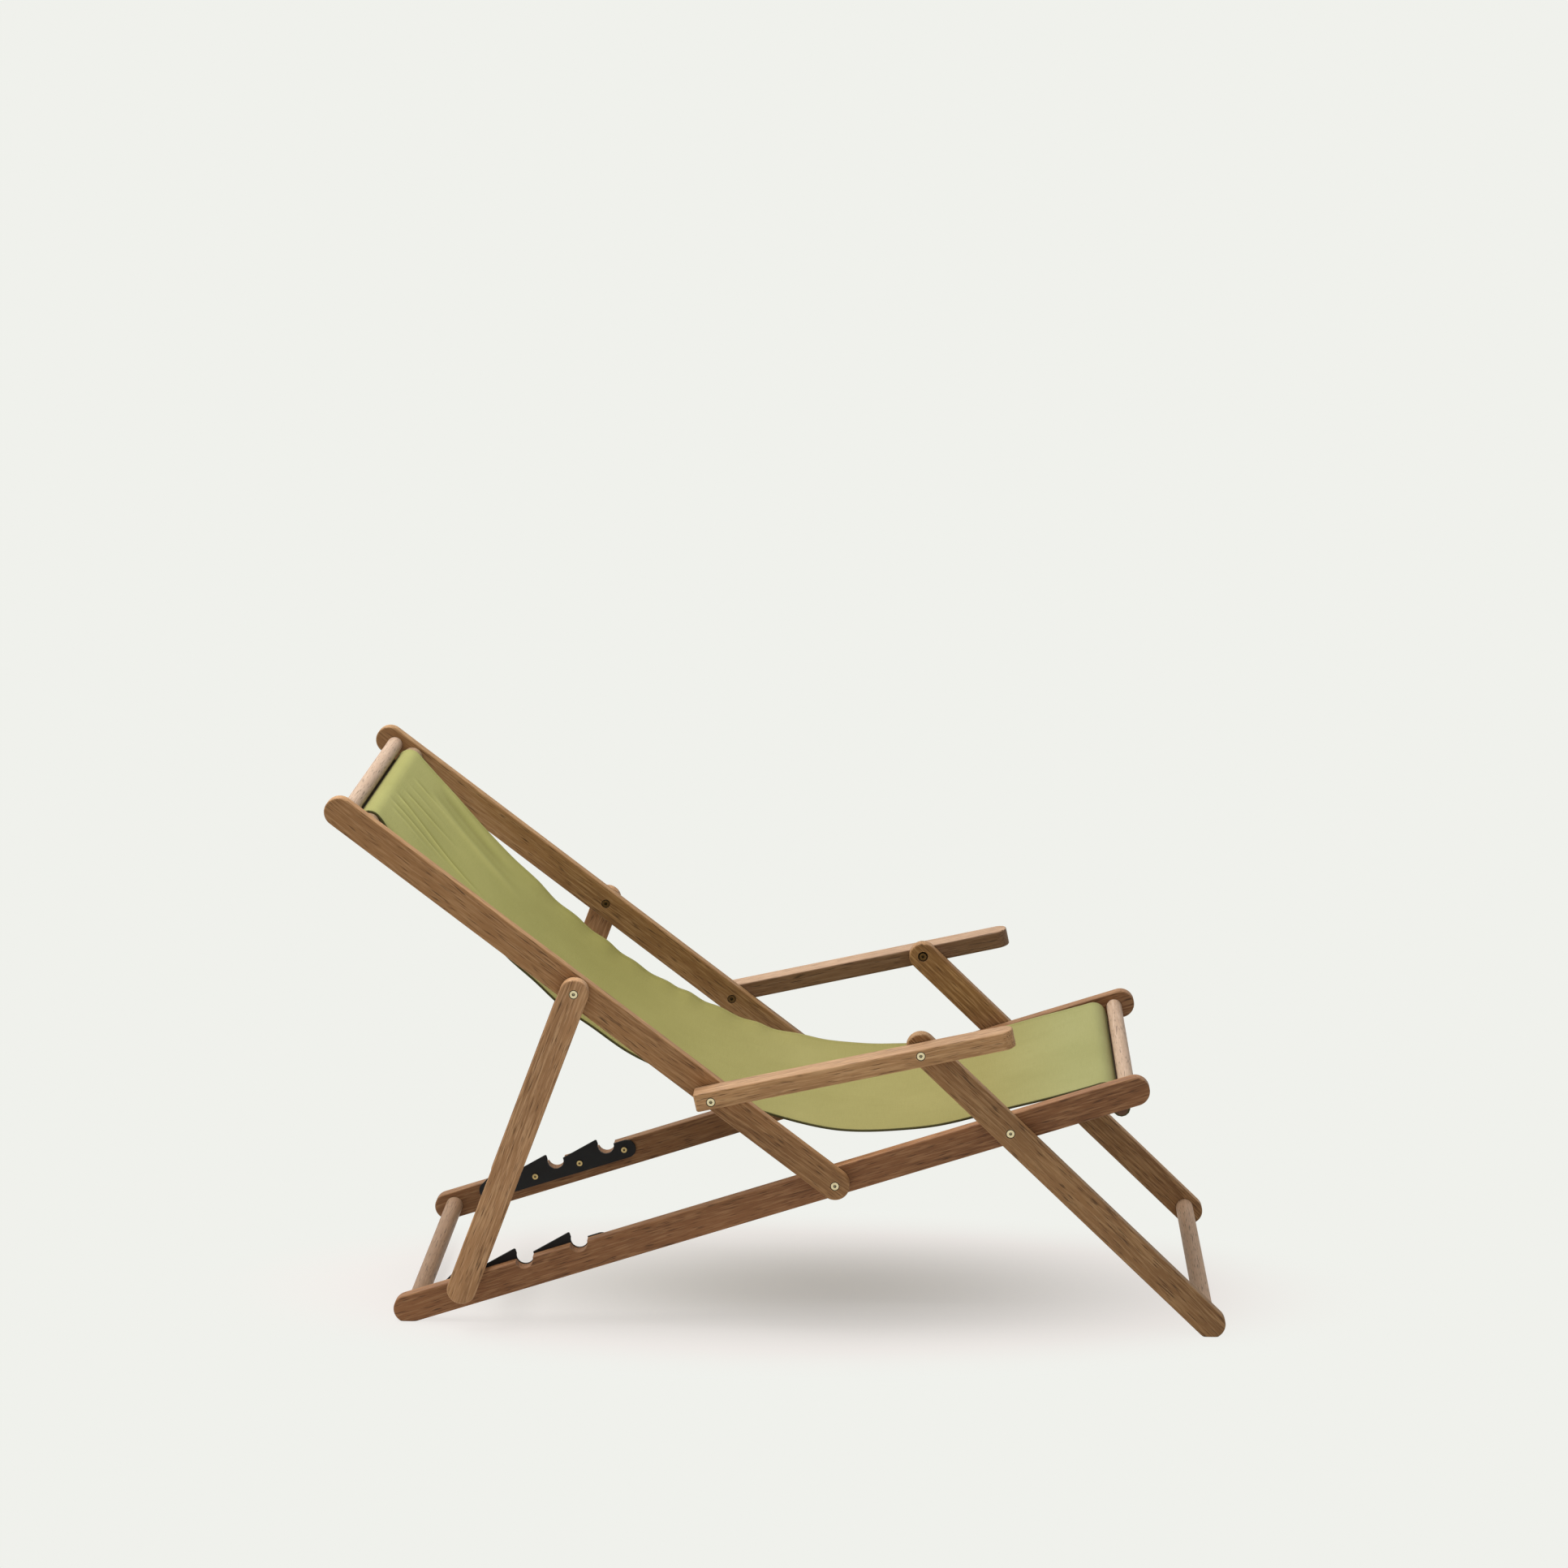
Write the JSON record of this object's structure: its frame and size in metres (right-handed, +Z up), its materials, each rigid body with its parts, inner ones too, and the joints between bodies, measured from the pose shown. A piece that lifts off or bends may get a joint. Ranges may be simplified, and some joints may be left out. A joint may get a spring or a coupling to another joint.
{
  "type": "folding sun lounger",
  "caption": "Folding wooden sun lounger with a slung green fabric seat, flat armrests and a back held by a prop over a toothed rack.",
  "frame": {"origin": "on the floor, under the middle of the lounger's overall box", "axes": "+X towards the sitter's front, +Y to the sitter's left, +Z up"},
  "size_m": [1.2208, 0.6, 0.7424],
  "materials": {
    "frame_wood": "oiled, brushed grain",
    "dowel_wood": "oiled, paler than the rails",
    "sling_fabric": "matte plain weave, yellow-green",
    "rack_metal": "satin black coat",
    "screw_plate": "yellow plated",
    "bolt_brass": "satin, yellow plated",
    "washer_nylon": "plain"
  },
  "bodies": {
    "base": {"seat_rail_left": "frame_wood", "seat_rail_right": "frame_wood", "front_dowel": "dowel_wood", "rear_dowel": "dowel_wood", "seat_sling_dowel": "dowel_wood", "seat_hem_rod": "dowel_wood", "rack_plate_left": "rack_metal", "rack_plate_right": "rack_metal", "rack_screws_left": "screw_plate", "rack_screws_right": "screw_plate", "sling": "sling_fabric", "back_pivot_bolts": "bolt_brass", "back_pivot_nuts": "bolt_brass", "back_pivot_washers": "washer_nylon", "leg_pivot_bolts": "bolt_brass", "leg_pivot_nuts": "bolt_brass", "leg_pivot_washers": "washer_nylon"},
    "back": {"back_rail_left": "frame_wood", "back_rail_right": "frame_wood", "top_dowel": "dowel_wood", "back_sling_dowel": "dowel_wood", "back_hem_rod": "dowel_wood", "arm_rear_pivot_bolts": "bolt_brass", "arm_rear_pivot_nuts": "bolt_brass", "arm_rear_pivot_washers": "washer_nylon", "prop_pivot_bolts": "bolt_brass", "prop_pivot_nuts": "bolt_brass", "prop_pivot_washers": "washer_nylon"},
    "legs": {"front_leg_left": "frame_wood", "front_leg_right": "frame_wood", "foot_dowel": "dowel_wood"},
    "prop": {"prop_leg_left": "frame_wood", "prop_leg_right": "frame_wood", "prop_bar": "dowel_wood"},
    "armrest_left": {"armrest_left": "frame_wood", "arm_front_bolt_left": "bolt_brass", "arm_front_nut_left": "bolt_brass", "arm_front_washer_left": "washer_nylon"},
    "armrest_right": {"armrest_right": "frame_wood", "arm_front_bolt_right": "bolt_brass", "arm_front_nut_right": "bolt_brass", "arm_front_washer_right": "washer_nylon"}
  },
  "joints": [
    {"name": "back_fold", "type": "hinge", "parent": "base", "child": "back", "pos_m": [0.07629, 0, 0.20809], "axis": [0, -1, 0], "range_deg": [-12, 55.6], "deforming": ["sling"]},
    {"name": "leg_fold", "type": "hinge", "parent": "base", "child": "legs", "pos_m": [0.31411, 0, 0.28514], "axis": [0, -1, 0], "range_deg": [-13.93, 62.72]},
    {"name": "prop_swing", "type": "hinge", "parent": "back", "child": "prop", "pos_m": [-0.27526, 0, 0.47929], "axis": [0, -1, 0], "range_deg": [-103.08, 22.64]},
    {"name": "armrest_left_swing", "type": "hinge", "parent": "back", "child": "armrest_left", "pos_m": [-0.08999, 0.281, 0.33636], "axis": [0, -1, 0], "range_deg": [-51.29, 11.46]},
    {"name": "armrest_right_swing", "type": "hinge", "parent": "back", "child": "armrest_right", "pos_m": [-0.08999, -0.281, 0.33636], "axis": [0, -1, 0], "range_deg": [-51.29, 11.46]}
  ],
  "couplings": [
    {"joint": "leg_fold", "follows": "back_fold", "ratio": 1.119},
    {"joint": "prop_swing", "follows": "back_fold", "ratio": -1.845},
    {"joint": "armrest_left_swing", "follows": "back_fold", "ratio": -0.9134},
    {"joint": "armrest_right_swing", "follows": "back_fold", "ratio": -0.9134}
  ]
}
